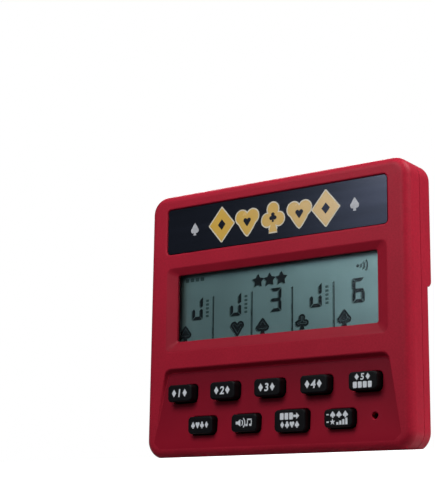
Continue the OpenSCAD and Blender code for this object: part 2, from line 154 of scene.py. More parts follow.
class Skin:
    """Points and faces of one piece, in millimetres, gathered before the mesh is made."""

    def __init__(self):
        self.verts, self.faces = [], []

    def add(self, points):
        start = len(self.verts)
        self.verts += points
        return list(range(start, start + len(points)))

    def loft(self, rows):
        """Joins closed rows of points, each as long as the last, with quads."""
        ids = [self.add(row) for row in rows]
        for a, b in zip(ids, ids[1:]):
            n = len(a)
            for i in range(n):
                j = (i + 1) % n
                self.faces.append((a[i], a[j], b[j], b[i]))

    def relief(self, lines, outer, holes):
        """Triangles between outlines that each have their own depths.

        lines holds (points [x, d, z], closed), and only what is inside outer and outside the holes is kept.
        """
        flat, depths, edges = [], [], []
        for points, closed in lines:
            start, n = len(flat), len(points)
            flat += [Vector((p[0], p[2])) for p in points]
            depths += [p[1] for p in points]
            edges += [(start + i, start + (i + 1) % n) for i in range(n if closed else n - 1)]
        verts, _, faces, origin, _, _ = delaunay_2d_cdt(flat, edges, [], 0, 1e-5)
        ids = self.add([(v.x, depths[o[0]] if o else 0.0, v.y) for v, o in zip(verts, origin)])
        for face in faces:
            mid_x = sum(verts[i].x for i in face) / len(face)
            mid_z = sum(verts[i].y for i in face) / len(face)
            if inside(outer, mid_x, mid_z) and not any(inside(hole, mid_x, mid_z) for hole in holes):
                self.faces.append(tuple(ids[i] for i in face))


def with_depth(outline, depth):
    """Points [x, d, z] from an outline. depth is a number, or gives one for each point."""
    return [(x, depth(x, z) if callable(depth) else depth, z) for x, z in outline]


# ---- materials ----


COAT_ROUGHNESS = 0.18
# reach of the light wear and painted highlight at convex edges, and size of the patches of uneven gloss
WEAR_HIGHLIGHT_MM = 0.5
SMEAR_MM = 3.0


def tree(name):
    """A new material and its empty node tree."""
    material = bpy.data.materials.new(name)
    material.use_nodes = True
    graph = material.node_tree
    for node in list(graph.nodes):
        graph.nodes.remove(node)
    return material, graph


def add(graph, kind, **values):
    """Adds a node. Values named for a socket set it, and the others set the node's own options."""
    node = graph.nodes.new(kind)
    for key, value in values.items():
        socket = next((s for s in node.inputs if s.name.replace(" ", "_") == key), None)
        if socket is None:
            setattr(node, key, value)
        else:
            socket.default_value = value
    return node


def rgba(colour):
    return (*colour, 1.0)


def scaled(colour, by):
    return tuple(min(1.0, c * by) for c in colour)


def noise(graph, where, size_mm, detail=3.0, rough=0.55, stretch=(1, 1, 1)):
    """Noise whose features are about size_mm across, stretched along an axis if asked."""
    source = where
    if stretch != (1, 1, 1):
        mapping = add(graph, "ShaderNodeMapping", Scale=stretch)
        graph.links.new(where, mapping.inputs["Vector"])
        source = mapping.outputs["Vector"]
    node = add(graph, "ShaderNodeTexNoise", Scale=1.0 / (size_mm * MM), Detail=detail, Roughness=rough)
    graph.links.new(source, node.inputs["Vector"])
    return node.outputs["Fac"]


def spread(graph, value, low, high, from_low=0.3, from_high=0.7):
    """Maps a value's range to another. The usual range holds nearly all of a noise texture's values."""
    node = add(graph, "ShaderNodeMapRange", From_Min=from_low, From_Max=from_high, To_Min=low, To_Max=high)
    graph.links.new(value, node.inputs["Value"])
    return node.outputs["Result"]


def blend_colours(graph, factor, a, b):
    """Mixes two colours, each a value or another node's output."""
    node = graph.nodes.new("ShaderNodeMix")
    node.data_type = "RGBA"
    for socket, value in ((node.inputs[0], factor), (node.inputs[6], a), (node.inputs[7], b)):
        if isinstance(value, bpy.types.NodeSocket):
            graph.links.new(value, socket)
        else:
            socket.default_value = value if isinstance(value, float) else rgba(value)
    return node.outputs[2]


def surface(
    name, colour, second=None, patch_mm=6.0, speck_mm=0.5, speck=0.08, roughness=0.45, rough_spread=0.08,
    grain_mm=0.4, grain_depth=0.02, metallic=0.0, specular=0.5, coat=0.0, edge_mm=0.0, edge_wear_highlight=0.0,
    stretch=(1, 1, 1), fade=None,
):
    """Opaque material: patches and specks of colour, uneven gloss, fine grain, softened edges, and convex
    edges made lighter as light wear and a painted highlight.

    fade holds (axis, low, high, colour): the colour below low on the axis, which fades out up to high.
    """
    material, graph = tree(name)
    out = add(graph, "ShaderNodeOutputMaterial")
    shader = add(graph, "ShaderNodeBsdfPrincipled", Metallic=metallic, Specular_IOR_Level=specular)
    if coat:
        shader.inputs["Coat Weight"].default_value = coat
        shader.inputs["Coat Roughness"].default_value = COAT_ROUGHNESS
    graph.links.new(shader.outputs[0], out.inputs[0])
    where = add(graph, "ShaderNodeTexCoord").outputs["Object"]
    patches = spread(graph, noise(graph, where, patch_mm, stretch=stretch), 0.0, 1.0)
    specks = spread(graph, noise(graph, where, speck_mm, 2.0, stretch=stretch), 0.0, 1.0)
    base = blend_colours(graph, patches, colour, second or scaled(colour, 0.88))
    speck_tone = 1 - speck * 2
    dark = blend_colours(graph, patches, scaled(colour, speck_tone), scaled(second or colour, speck_tone))
    base = blend_colours(graph, specks, dark, base)
    if fade:
        axis, fade_low, fade_high, fade_colour = fade
        apart = graph.nodes.new("ShaderNodeSeparateXYZ")
        graph.links.new(where, apart.inputs[0])
        along = spread(graph, apart.outputs[axis], 0.0, 1.0, fade_low * MM, fade_high * MM)
        base = blend_colours(graph, along, fade_colour, base)
    grain = noise(graph, where, grain_mm, 2.0, 0.6, stretch)
    bump = add(graph, "ShaderNodeBump", Strength=1.0, Distance=grain_depth * MM)
    graph.links.new(grain, bump.inputs["Height"])
    if edge_mm:
        bevel = add(graph, "ShaderNodeBevel", samples=6, Radius=edge_mm * MM)
        graph.links.new(bevel.outputs[0], bump.inputs["Normal"])
    # convex edges are made lighter in colour: light wear and a painted highlight
    if edge_wear_highlight:
        hollow = add(graph, "ShaderNodeAmbientOcclusion", samples=6, inside=True, only_local=True)
        hollow.inputs["Distance"].default_value = WEAR_HIGHLIGHT_MM * MM
        wear_and_highlight = spread(graph, hollow.outputs["AO"], edge_wear_highlight, 0.0, 0.35, 0.75)
        base = blend_colours(graph, wear_and_highlight, base, scaled(colour, 1.6))
    graph.links.new(base, shader.inputs["Base Color"])
    graph.links.new(bump.outputs[0], shader.inputs["Normal"])
    smears = noise(graph, where, SMEAR_MM, stretch=stretch)
    uneven = spread(graph, smears, roughness - rough_spread, roughness + rough_spread)
    graph.links.new(uneven, shader.inputs["Roughness"])
    return material


# clear sheets: roughness of their faces, its spread, and the least and most that they mirror
CLEAR_GLOSS = 0.12
CLEAR_SMUDGE = 0.05
MIRROR_LEAST = 0.010
MIRROR_MOST = 0.8
FRESNEL_POWER = 5.0


def clear(name, tint):
    """Clear sheet: tinted light passes straight through, and its face mirrors more and more at a slant."""
    material, graph = tree(name)
    out = add(graph, "ShaderNodeOutputMaterial")
    where = add(graph, "ShaderNodeTexCoord").outputs["Object"]
    smear = spread(graph, noise(graph, where, 9.0, 5.0, 0.65), CLEAR_GLOSS, CLEAR_GLOSS + CLEAR_SMUDGE)
    film = blend_colours(graph, spread(graph, noise(graph, where, 14.0), 0.0, 1.0), tint, scaled(tint, 0.97))
    through = add(graph, "ShaderNodeBsdfTransparent")
    graph.links.new(film, through.inputs["Color"])
    mirror = add(graph, "ShaderNodeBsdfGlossy")
    graph.links.new(smear, mirror.inputs["Roughness"])
    slant = add(graph, "ShaderNodeLayerWeight", Blend=0.5).outputs["Facing"]
    steep = add(graph, "ShaderNodeMath", operation="POWER")
    graph.links.new(slant, steep.inputs[0])
    steep.inputs[1].default_value = FRESNEL_POWER
    share = spread(graph, steep.outputs[0], MIRROR_LEAST, MIRROR_MOST, 0.0, 1.0)
    mix = add(graph, "ShaderNodeMixShader")
    graph.links.new(share, mix.inputs[0])
    graph.links.new(through.outputs[0], mix.inputs[1])
    graph.links.new(mirror.outputs[0], mix.inputs[2])
    graph.links.new(mix.outputs[0], out.inputs[0])
    return material


RED = (0.41, 0.0125, 0.032)
look = {
    # the case's convex edges are a little lighter: light wear and a painted highlight
    "case_red": surface(
        "red_plastic", RED, scaled(RED, 0.9), patch_mm=14, speck_mm=0.6, speck=0.1, roughness=0.46,
        rough_spread=0.05, grain_mm=0.42, grain_depth=0.03, specular=0.11, edge_mm=0.25, edge_wear_highlight=0.1,
    ),
    # keypad floor: a rougher finish, its red darker than the case as painted shade, darker still up towards
    # the hollow's lip
    "floor_red": surface(
        "red_plastic_floor", (0.172, 0.0042, 0.0150), (0.155, 0.0036, 0.0130), patch_mm=10, speck_mm=0.4,
        speck=0.06, roughness=0.55, rough_spread=0.05, grain_mm=0.35, grain_depth=0.03, specular=0.08,
        fade=("Z", HOLLOW_FOOT, HOLLOW_TOP, (0.280, 0.0055, 0.0195)),
    ),
    # slopes of the display surround: the case's red darkened as painted shade in the recess
    "slope_red": surface(
        "red_plastic_slope", scaled(RED, 0.76), scaled(RED, 0.70), patch_mm=10, speck_mm=0.5, speck=0.05,
        roughness=0.4, rough_spread=0.04, grain_mm=0.4, grain_depth=0.01, specular=0.12,
    ),
    "banner": surface(
        "printed_foil", (0.016, 0.019, 0.030), (0.028, 0.032, 0.049), patch_mm=4, speck_mm=0.3,
        metallic=0.9, roughness=0.19, rough_spread=0.03, specular=0.5, coat=0.25, grain_mm=0.35,
        grain_depth=0.004, stretch=(0.02, 1, 1),
    ),
    "window": clear("window_plastic", (0.96, 0.97, 0.97)),
    "black_foam": surface(
        "black_foam", (0.02, 0.02, 0.022), grain_mm=0.25, grain_depth=0.05, roughness=0.85
    ),
    "lcd_glass": clear("display_glass", (0.90, 0.95, 0.92)),
    "reflector": surface(
        "reflector_film", (0.55, 0.58, 0.58), (0.50, 0.54, 0.54), patch_mm=20, speck_mm=0.3, speck=0.05,
        metallic=0.8, roughness=0.4, grain_mm=0.2, grain_depth=0.006,
    ),
    "backed_glass": surface(
        "backed_glass", (0.375, 0.465, 0.507), (0.36, 0.447, 0.487), patch_mm=20, speck_mm=0.3, speck=0.005,
        metallic=0.85, roughness=0.32, rough_spread=0.01, grain_mm=6.0, grain_depth=0.0005,
    ),
    "white_plastic": surface("white_plastic", (0.72, 0.72, 0.68), roughness=0.5, grain_mm=0.3),
    "connector_rubber": surface(
        "striped_rubber", (0.55, 0.36, 0.36), (0.12, 0.10, 0.10), patch_mm=0.5, roughness=0.6,
        stretch=(1, 0.02, 0.02),
    ),
    "board": surface(
        "board_green", (0.012, 0.10, 0.045), (0.02, 0.16, 0.07), patch_mm=1.6, speck_mm=0.5, roughness=0.3,
        grain_mm=0.6, grain_depth=0.02, coat=0.3,
    ),
    "resin": surface("chip_resin", (0.012, 0.012, 0.014), roughness=0.22, grain_mm=1.2, grain_depth=0.02),
    "component": surface(
        "component_body", (0.50, 0.36, 0.20), (0.60, 0.45, 0.28), patch_mm=1.0, roughness=0.4
    ),
    "key_rubber": surface(
        "black_rubber", (0.003, 0.0028, 0.0035), (0.004, 0.0038, 0.0045), patch_mm=3, speck_mm=0.3,
        speck=0.1, roughness=0.5, specular=0.12, grain_mm=0.3, grain_depth=0.012, edge_mm=0.3,
    ),
    "carbon": surface("carbon_pill", (0.02, 0.02, 0.022), roughness=0.7, grain_mm=0.15),
    "switch_body": surface(
        "switch_can", (0.55, 0.55, 0.56), metallic=1.0, roughness=0.3, grain_depth=0.004
    ),
    "switch_tip": surface("switch_tip", (0.03, 0.03, 0.03), roughness=0.5, grain_mm=0.2),
    "brass": surface("sounder_brass", (0.60, 0.42, 0.16), metallic=1.0, roughness=0.35, grain_depth=0.004),
    "ceramic": surface("sounder_ceramic", (0.62, 0.60, 0.54), roughness=0.55, grain_mm=0.2),
    "lead_insulation": surface("red_lead", (0.50, 0.02, 0.02), roughness=0.4, grain_mm=0.5),
    "lead_dark": surface("black_lead", (0.015, 0.015, 0.015), roughness=0.4, grain_mm=0.5),
    "battery_wrap": surface(
        "cell_wrap", (0.03, 0.10, 0.06), (0.04, 0.13, 0.08), patch_mm=10, roughness=0.25,
        grain_depth=0.004, coat=0.4,
    ),
    "contact_steel": surface(
        "plated_steel", (0.62, 0.62, 0.60), metallic=1.0, roughness=0.28, grain_depth=0.003, edge_mm=0.05
    ),
    "screw_steel": surface(
        "screw_steel", (0.50, 0.50, 0.52), metallic=1.0, roughness=0.32, grain_depth=0.004
    ),
    "ink_white": surface(
        "white_ink", (0.80, 0.82, 0.84), (0.68, 0.70, 0.73), patch_mm=0.5, speck_mm=0.15, speck=0.12,
        roughness=0.5, grain_mm=0.2, grain_depth=0.006,
    ),
    # gold ink: deeper orange towards the left and paler towards the right, a painted reflection of the light
    # that the right side mirrors
    "ink_gold": surface(
        "gold_ink", (0.66, 0.42, 0.12), (0.64, 0.41, 0.14), patch_mm=7, speck_mm=0.3, speck=0.06,
        roughness=0.2, grain_mm=0.3, grain_depth=0.004, specular=1.0, coat=1.0,
        fade=("X", -26.0, 22.0, (0.62, 0.36, 0.025)),
    ),
    "ink_cream": surface(
        "cream_ink", (0.66, 0.60, 0.46), (0.58, 0.52, 0.40), patch_mm=5, roughness=0.4, grain_mm=0.3,
        grain_depth=0.005,
    ),
    "ink_silver": surface(
        "silver_ink", (0.42, 0.42, 0.44), (0.50, 0.50, 0.52), patch_mm=2, roughness=0.38, grain_mm=0.3,
        grain_depth=0.005,
    ),
    "segment": surface(
        "display_segment", (0.004, 0.006, 0.010), (0.006, 0.008, 0.014), patch_mm=3, roughness=0.6,
        specular=0.1, grain_depth=0.002,
    ),
    "faint": surface(
        "faint_segment", (0.11, 0.155, 0.17), (0.09, 0.13, 0.14), patch_mm=1.5, speck_mm=0.3,
        metallic=0.7, roughness=0.35, grain_depth=0.002,
    ),
    "segment_shadow": surface(
        "segment_shadow", (0.17, 0.225, 0.245), (0.15, 0.20, 0.22), patch_mm=1.5, speck_mm=0.3,
        metallic=0.8, roughness=0.3, grain_depth=0.002,
    ),
}

# every CAD node takes the look of its material slot, and the display's rear glass that of a film behind glass
for row in frame["record"]["subparts"]:
    node = nodes[row["node"]]
    node.data.materials.clear()
    node.data.materials.append(look[row["material_slot"]])
nodes["lcd_rear_glass"].data.materials[0] = look["backed_glass"]


# ---- front shell, with softened edges ----

KEY_BODIES = ["key_1", "key_2", "key_3", "key_4", "key_5", "key_game", "key_sound", "key_deal", "key_score"]
# how far a key's flange reaches past its cap, the gap round the cap, and the cap's corner radius
FLANGE_LAP = 1.1
KEY_GAP = 0.35
KEY_R = 1.3

# middle, width, height and depth of each key's top
key_top = {}
for key_name in KEY_BODIES:
    low, high = box_mm(key_name)
    key_top[key_name] = (
        (low.x + high.x) / 2,
        (low.z + high.z) / 2,
        high.x - low.x - 2 * FLANGE_LAP,
        high.z - low.z - 2 * FLANGE_LAP,
        low.y - FACE,
    )


def floor_depth(x, z):
    """Depth of the sloping floor of the keypad hollow."""
    height = min(z, HOLLOW_TOP) - HOLLOW_FOOT
    return HOLLOW_D * max(0.0, height) / (HOLLOW_TOP - HOLLOW_FOOT)


def hollow_line(u):
    """Open outline of the hollow from foot to foot. u is 0 at the lip and 1 where wall and floor meet."""
    top = HOLLOW_LIP + (HOLLOW_TOP - HOLLOW_LIP) * u
    half = HOLLOW_HALF - 0.5 * u
    foot = HOLLOW_FOOT_HALF - 0.12 * u
    r = 2.6 - 0.3 * u
    lean = math.atan2(foot - half, top - HOLLOW_FOOT)
    corner_x = half - r * (1 - math.sin(lean)) / math.cos(lean)
    right = [(foot, HOLLOW_FOOT)]
    for i in range(9):
        angle = lean + (math.pi / 2 - lean) * i / 8
        right.append((corner_x + r * math.cos(angle), top - r + r * math.sin(angle)))
    return right + [(-x, z) for x, z in reversed(right)]


def eased(u, start, end):
    """0 to 1 along u with a rounded start of half width start and a rounded end of half width end."""
    if u <= -start:
        return 0.0
    if u < start:
        return (u + start) ** 2 / (4 * start)
    if u <= 1 - end:
        return u
    if u < 1 + end:
        return 1 - (1 + end - u) ** 2 / (4 * end)
    return 1.0


def between(a, b, u):
    """Outline part of the way from a to b."""
    return [(ax + (bx - ax) * u, az + (bz - az) * u) for (ax, az), (bx, bz) in zip(a, b)]


# Softened edges, as pairs: how far the outline has grown past the opening, and the depth reached there.
BANNER_LIP = (
    (0.58, 0), (0.50, 0), (0.38, 0.02), (0.26, 0.08), (0.15, 0.18), (0.07, 0.32), (0.02, 0.5), (-0.03, 0.78),
    (-0.1, 0.9),
)
HOLE_LIP_D = 0.26
KEY_HOLE_LIP = ((0.34, 0), (0.28, 0), (0.17, 0.03), (0.08, 0.09), (0.02, 0.18), (0.0, HOLE_LIP_D))
PINHOLE_LIP = ((0.34, 0), (0.28, 0), (0.14, 0.05), (0.05, 0.13), (0.0, HOLE_LIP_D))
PINHOLE_R = 1.05
BANNER_GAP = 0.2
BANNER_R = 1.4

# The clear window is wider and taller than the opening that it covers.
WINDOW_LAP_X = 4.2
WINDOW_LAP_Z = 3.8
# The display surround slopes from its outer edge, at step 0, to its inner edge, at step 1, and drops into the
# opening there. Its outer edge is wider and taller than the opening, and sits a little lower.
BEZEL_GROW_X = 7.7
BEZEL_GROW_Z = 5.8
BEZEL_DROP = 0.45
BEZEL_R = 1.9
OPENING_R = 0.8
BEZEL_D = 1.3
BEZEL_STEPS = (-0.17, -0.14, -0.1, -0.06, -0.02, 0.02, 0.06, 0.1, 0.14, 0.17, 0.93, 0.955)
OPENING_LIP_D = 1.46
OPENING_WALL_D = 1.6
BEZEL_LIP = ((0.975, 1.29), (0.99, 1.34), (1.0, OPENING_LIP_D))
BEZEL_EASE = 0.14
BEZEL_EASE_END = 0.001
# The wall of the keypad hollow has the same steps, from its lip to its floor.
HOLLOW_STEPS = (-0.36, -0.3, -0.22, -0.14, -0.06, 0.02, 0.1, 0.2, 0.3, 0.75, 0.88, 1.0, 1.12, 1.25, 1.32)
HOLLOW_EASE_LIP = 0.3
HOLLOW_EASE_FLOOR = 0.25

shell = Skin()
outer_line = case_outline(FRONT_ROUND)
lines = [(with_depth(outer_line, 0.0), True), (with_depth(case_outline(FRONT_ROUND + 0.1, None), 0.0), True)]

# banner recess
low, high = box_mm("banner_panel")
banner_x = (low.x + high.x) / 2
banner_z = (low.z + high.z) / 2
banner_w = high.x - low.x + 2 * BANNER_GAP
banner_h = high.z - low.z + 2 * BANNER_GAP
banner_floor = high.y - FACE
for grow, depth in BANNER_LIP:
    recess = rounded_rect(banner_x, banner_z, banner_w + 2 * grow, banner_h + 2 * grow, BANNER_R + grow, 8)
    lines.append((with_depth(recess, min(depth, banner_floor)), True))

# sloping display surround
low, high = box_mm("display_window")
open_w = high.x - low.x - WINDOW_LAP_X
open_h = high.z - low.z - WINDOW_LAP_Z
open_x = (low.x + high.x) / 2
open_z = (low.z + high.z) / 2
bezel_outer = rounded_rect(
    open_x, open_z - BEZEL_DROP, open_w + BEZEL_GROW_X, open_h + BEZEL_GROW_Z, BEZEL_R, 8
)
bezel_inner = rounded_rect(open_x, open_z, open_w, open_h, OPENING_R, 8)
for u in BEZEL_STEPS:
    depth = BEZEL_D * eased(u, BEZEL_EASE, BEZEL_EASE_END)
    lines.append((with_depth(between(bezel_outer, bezel_inner, u), depth), True))
for u, depth in BEZEL_LIP:
    lines.append((with_depth(between(bezel_outer, bezel_inner, u), depth), True))
shell.loft([with_depth(bezel_inner, depth) for depth in (OPENING_LIP_D, OPENING_WALL_D, FRONT_WALL)])

# keypad hollow
for u in HOLLOW_STEPS:
    share = eased(u, HOLLOW_EASE_LIP, HOLLOW_EASE_FLOOR)
    lines.append((with_depth(hollow_line(u), lambda x, z, s=share: floor_depth(x, z) * s), False))
lines.append((with_depth([(-HOLLOW_FOOT_HALF, HOLLOW_FOOT), (HOLLOW_FOOT_HALF, HOLLOW_FOOT)], 0.0), False))

# key holes and pinhole
floor_holes = []
for x, z, w, h, _ in key_top.values():
    for grow, depth in KEY_HOLE_LIP:
        gap = KEY_GAP + grow
        hole = rounded_rect(x, z, w + 2 * gap, h + 2 * gap, KEY_R + KEY_GAP + grow, 6)
        lines.append((with_depth(hole, lambda px, pz, d=depth: floor_depth(px, pz) + d), True))
    floor_holes.append(hole)
low, high = box_mm("reset_plunger")
for grow, depth in PINHOLE_LIP:
    hole = ring_of((low.x + high.x) / 2, (low.z + high.z) / 2, PINHOLE_R + grow, 28)
    lines.append((with_depth(hole, lambda px, pz, d=depth: floor_depth(px, pz) + d), True))
floor_holes.append(hole)
for hole in floor_holes:
    mouth = with_depth(hole, lambda px, pz: floor_depth(px, pz) + HOLE_LIP_D)
    shell.loft([mouth, with_depth(hole, KEYPAD_WALL)])
shell.relief(lines, outer_line, [bezel_inner, *floor_holes])

# rounded front edge, side, and the small rounding at the joint with the back shell
ROUND_STEPS = 14
rim = []
for i in range(ROUND_STEPS + 1):
    angle = math.pi / 2 * i / ROUND_STEPS
    rim.append((FRONT_ROUND * (1 - math.sin(angle)), FRONT_ROUND * (1 - math.cos(angle))))
rim += [(0, FRONT_ROUND + 0.15), (0, JOINT_D - 0.3)]
rim += [(0.02, JOINT_D - 0.16), (0.06, JOINT_D - 0.07), (0.15, JOINT_D), (WALL, JOINT_D)]
shell.loft([with_depth(case_outline(inset), depth) for inset, depth in rim])

# inside faces: the walls all round, the front wall above and below SPLIT_Z, and the step between the two
inner_line = case_outline(WALL)
for (ax, az), (bx, bz) in zip(inner_line, inner_line[1:] + inner_line[:1]):
    depth = FRONT_WALL if (az + bz) / 2 > SPLIT_Z else KEYPAD_WALL
    wall = shell.add([(ax, JOINT_D, az), (bx, JOINT_D, bz), (bx, depth, bz), (ax, depth, az)])
    shell.faces.append(tuple(wall))
edge = CASE_W / 2 - WALL
upper = [(x, z) for x, z in inner_line if z >= SPLIT_Z - 1e-6]
upper_lines = [
    (with_depth(upper, FRONT_WALL), False),
    (with_depth(bezel_inner, FRONT_WALL), True),
    (with_depth([(-edge, SPLIT_Z), (edge, SPLIT_Z)], FRONT_WALL), False),
]
upper_part = [(-CASE_W, SPLIT_Z), (CASE_W, SPLIT_Z), (CASE_W, CASE_H), (-CASE_W, CASE_H)]
shell.relief(upper_lines, upper_part, [bezel_inner])
lower_lines = [(with_depth(line, KEYPAD_WALL), True) for line in [inner_line, *floor_holes]]
lower_part = [(-CASE_W, 0), (CASE_W, 0), (CASE_W, SPLIT_Z), (-CASE_W, SPLIT_Z)]
shell.relief(lower_lines, lower_part, floor_holes)
step = [(-edge, FRONT_WALL), (edge, FRONT_WALL), (edge, KEYPAD_WALL), (-edge, KEYPAD_WALL)]
shell.faces.append(tuple(shell.add([(x, depth, SPLIT_Z) for x, depth in step])))

front = new_piece("front_case", shell.verts, shell.faces, look["case_red"], "case")
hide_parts("front_shell")
front.data.materials.append(look["floor_red"])
front.data.materials.append(look["slope_red"])
# the floor's painted shade reaches past the hollow's foot to the front rounding, so the strip below it is
# darker too
FLOOR_SHADE_SLOT = 1
SLOPE_SHADE_SLOT = 2
floor_shade_edge = [*hollow_line(1.12), (CORNER - CASE_W / 2, FRONT_ROUND), (CASE_W / 2 - CORNER, FRONT_ROUND)]
# the display surround's slopes take the darker red of painted shade
slope_shade_edge = between(bezel_outer, bezel_inner, -0.02)
for face in front.data.polygons:
    centre = face.center / MM
    if face.normal.y < -0.9 and inside(floor_shade_edge, centre.x, centre.z):
        face.material_index = FLOOR_SHADE_SLOT
    elif face.normal.y < -0.3 and centre.y > FACE + 0.02 and inside(slope_shade_edge, centre.x, centre.z):
        face.material_index = SLOPE_SHADE_SLOT


# ---- flat shapes for print and display ----


OUTLINE_TURNS = 120
OUTLINE_REACH = 1.6
COARSE_STEP = 0.02


def star_outline(test):
    """Outline, seen from its middle, of the shape where test(x, z) is true."""
    points = []
    for i in range(OUTLINE_TURNS):
        a = math.pi / 2 + 2 * math.pi * i / OUTLINE_TURNS
        r = OUTLINE_REACH
        while r > COARSE_STEP and not test(r * math.cos(a), r * math.sin(a)):
            r -= COARSE_STEP
        step = COARSE_STEP
        for _ in range(12):
            step /= 2
            r += step if test((r + step) * math.cos(a), (r + step) * math.sin(a)) else 0.0
        points.append((r * math.cos(a), r * math.sin(a)))
    return points


def in_circle(x, z, middle_x, middle_z, r):
    return (x - middle_x) ** 2 + (z - middle_z) ** 2 <= r * r


def in_heart(x, z):
    """Heart one unit high either side of its middle, point down."""
    if in_circle(x, z, -0.46, 0.36, 0.5) or in_circle(x, z, 0.46, 0.36, 0.5):
        return True
    if z > 0.36 or z < -1.0:
        return False
    share = (z + 1.0) / 1.36
    return abs(x) <= 0.96 * share ** 0.8


def in_stem(x, z):
    return -1.0 <= z <= -0.1 and abs(x) <= 0.09 + 0.26 * max(0.0, (-0.55 - z) / 0.45) ** 2


def in_spade(x, z):
    return in_stem(x, z) or in_heart(x / 0.94, -(z - 0.12) / 0.86 - 0.02)


def in_club(x, z):
    return (
        in_stem(x, z)
        or in_circle(x, z, 0, 0.54, 0.44)
        or in_circle(x, z, -0.46, -0.16, 0.44)
        or in_circle(x, z, 0.46, -0.16, 0.44)
        or in_circle(x, z, 0, 0.1, 0.25)
    )


def in_diamond(x, z):
    return abs(x) / 0.84 + abs(z) <= 1.0


SUITS = {name: star_outline(test) for name, test in (
    ("heart", in_heart), ("spade", in_spade), ("club", in_club), ("diamond", in_diamond)
)}


def moved(outline, x, z, w, h=None):
    """A unit outline, two units wide and high, brought to a place and size."""
    return [(x + px * w / 2, z + pz * (h or w) / 2) for px, pz in outline]


def distance_to(outline, x, z):
    """Distance from a point to the line of an outline."""
    nearest = 1e9
    for (ax, az), (bx, bz) in zip(outline, outline[1:] + outline[:1]):
        ux, uz = bx - ax, bz - az
        along = max(0.0, min(1.0, ((x - ax) * ux + (z - az) * uz) / max(ux * ux + uz * uz, 1e-12)))
        nearest = min(nearest, math.hypot(x - ax - along * ux, z - az - along * uz))
    return nearest


HALVINGS = 14


def grown(outline, by):
    """The outline of what is within a distance of a shape, or that far inside it when by is negative."""
    middle_x = (min(p[0] for p in outline) + max(p[0] for p in outline)) / 2
    middle_z = (min(p[1] for p in outline) + max(p[1] for p in outline)) / 2
    result = []
    for x, z in outline:
        far = math.hypot(x - middle_x, z - middle_z)
        ux = (x - middle_x) / far
        uz = (z - middle_z) / far
        if by > 0:
            low_r, high_r = far, far + 4 * by
        else:
            low_r, high_r = 0.0, far
        for _ in range(HALVINGS):
            r = (low_r + high_r) / 2
            px = middle_x + ux * r
            pz = middle_z + uz * r
            near = distance_to(outline, px, pz)
            within = inside(outline, px, pz)
            kept = (near <= by or within) if by > 0 else (near >= -by and within)
            if kept:
                low_r = r
            else:
                high_r = r
        result.append((middle_x + ux * low_r, middle_z + uz * low_r))
    return result


def star(waist):
    """Star with five points, whose inner corners lie at waist from its middle."""
    outline = []
    for i in range(10):
        r = 1 if i % 2 == 0 else waist
        angle = math.pi / 2 + math.pi * i / 5
        outline.append((r * math.cos(angle), r * math.sin(angle)))
    return outline


def rect(x, z, w, h):
    return [(x - w / 2, z - h / 2), (x + w / 2, z - h / 2), (x + w / 2, z + h / 2), (x - w / 2, z + h / 2)]


def arc_band(x, z, r, t, half_angle):
    """Piece of a ring of radius r and width t, open to the left."""
    turn = [-half_angle + 2 * half_angle * k / 8 for k in range(9)]
    outer = [(x + (r + t / 2) * math.cos(a), z + (r + t / 2) * math.sin(a)) for a in turn]
    return outer + [(x + (r - t / 2) * math.cos(a), z + (r - t / 2) * math.sin(a)) for a in reversed(turn)]


class Print:
    """Flat shapes of one colour, printed between two depths."""

    def __init__(self, front, back):
        self.front, self.back, self.skin = front, back, Skin()

    def fill(self, outline):
        """A solid shape inside an outline."""
        n = len(outline)
        a = self.skin.add(with_depth(outline, self.front))
        b = self.skin.add(with_depth(outline, self.back))
        self.skin.faces += [tuple(a), tuple(reversed(b))]
        self.skin.faces += [(a[i], a[(i + 1) % n], b[(i + 1) % n], b[i]) for i in range(n)]

    def ring(self, outer, inner):
        """A band between two outlines with as many points."""
        rows = [with_depth(outer, self.front), with_depth(inner, self.front)]
        rows += [with_depth(inner, self.back), with_depth(outer, self.back)]
        self.skin.loft([*rows, rows[0]])

    def piece(self, name, material, body, slot):
        return new_piece(name, self.skin.verts, self.skin.faces, look[material], body, smooth=False)


# ---- banner print ----

low, high = box_mm("banner_panel")
panel_d = low.y - FACE
mid_x = (low.x + high.x) / 2
mid_z = (low.z + high.z) / 2
# Each print stands a little further out than the one that it lies on.
cream = Print(panel_d - 0.015, panel_d)
gold = Print(panel_d - 0.03, panel_d)
dark_inlay = Print(panel_d - 0.04, panel_d)
# the gold lies inside the space of a shape, the pale edge shows round it, and the inlay is a smaller copy
GOLD_INSET = 0.9
CREAM_EDGE = 0.42
INLAY_SHARE = 0.3
for name, x, lift, w, h in (
    ("diamond", -19.9, 0.0, 12.6, 12.4),
    ("heart", -9.6, -0.4, 10.2, 10.2),
    ("club", 0.6, -0.2, 10.4, 10.8),
    ("heart", 10.7, -0.4, 10.2, 10.2),
    ("diamond", 20.6, 0.0, 12.6, 12.4),
):
    suit = moved(SUITS[name], mid_x + x, mid_z + lift, w - GOLD_INSET, h - GOLD_INSET)
    gold.fill(suit)
    cream.fill(grown(suit, CREAM_EDGE))
    dark_inlay.fill(moved(SUITS[name], mid_x + x, mid_z + lift, w * INLAY_SHARE, h * INLAY_SHARE))
gold.piece("banner_gold", "ink_gold", "case", "banner")
cream.piece("banner_outline", "ink_cream", "case", "banner")
dark_inlay.piece("banner_inlay", "banner", "case", "banner")
silver = Print(panel_d - 0.03, panel_d)
SPADE_X = 31.1
for side in (-1, 1):
    silver.fill(moved(SUITS["spade"], mid_x + side * SPADE_X, mid_z - 0.1, 3.5, 4.4))
silver.piece("banner_spades", "ink_silver", "case", "banner")


# ---- display contents ----

low, high = box_mm("lcd_front_glass")
cell_d = high.y - FACE
ink = Print(cell_d + 0.01, cell_d + 0.035)
weak = Print(cell_d + 0.01, cell_d + 0.035)
shade = Print(cell_d + 0.038, cell_d + 0.046)
# how far a mark's shadow is moved
SHADE_X = -0.42
SHADE_Z = -0.22
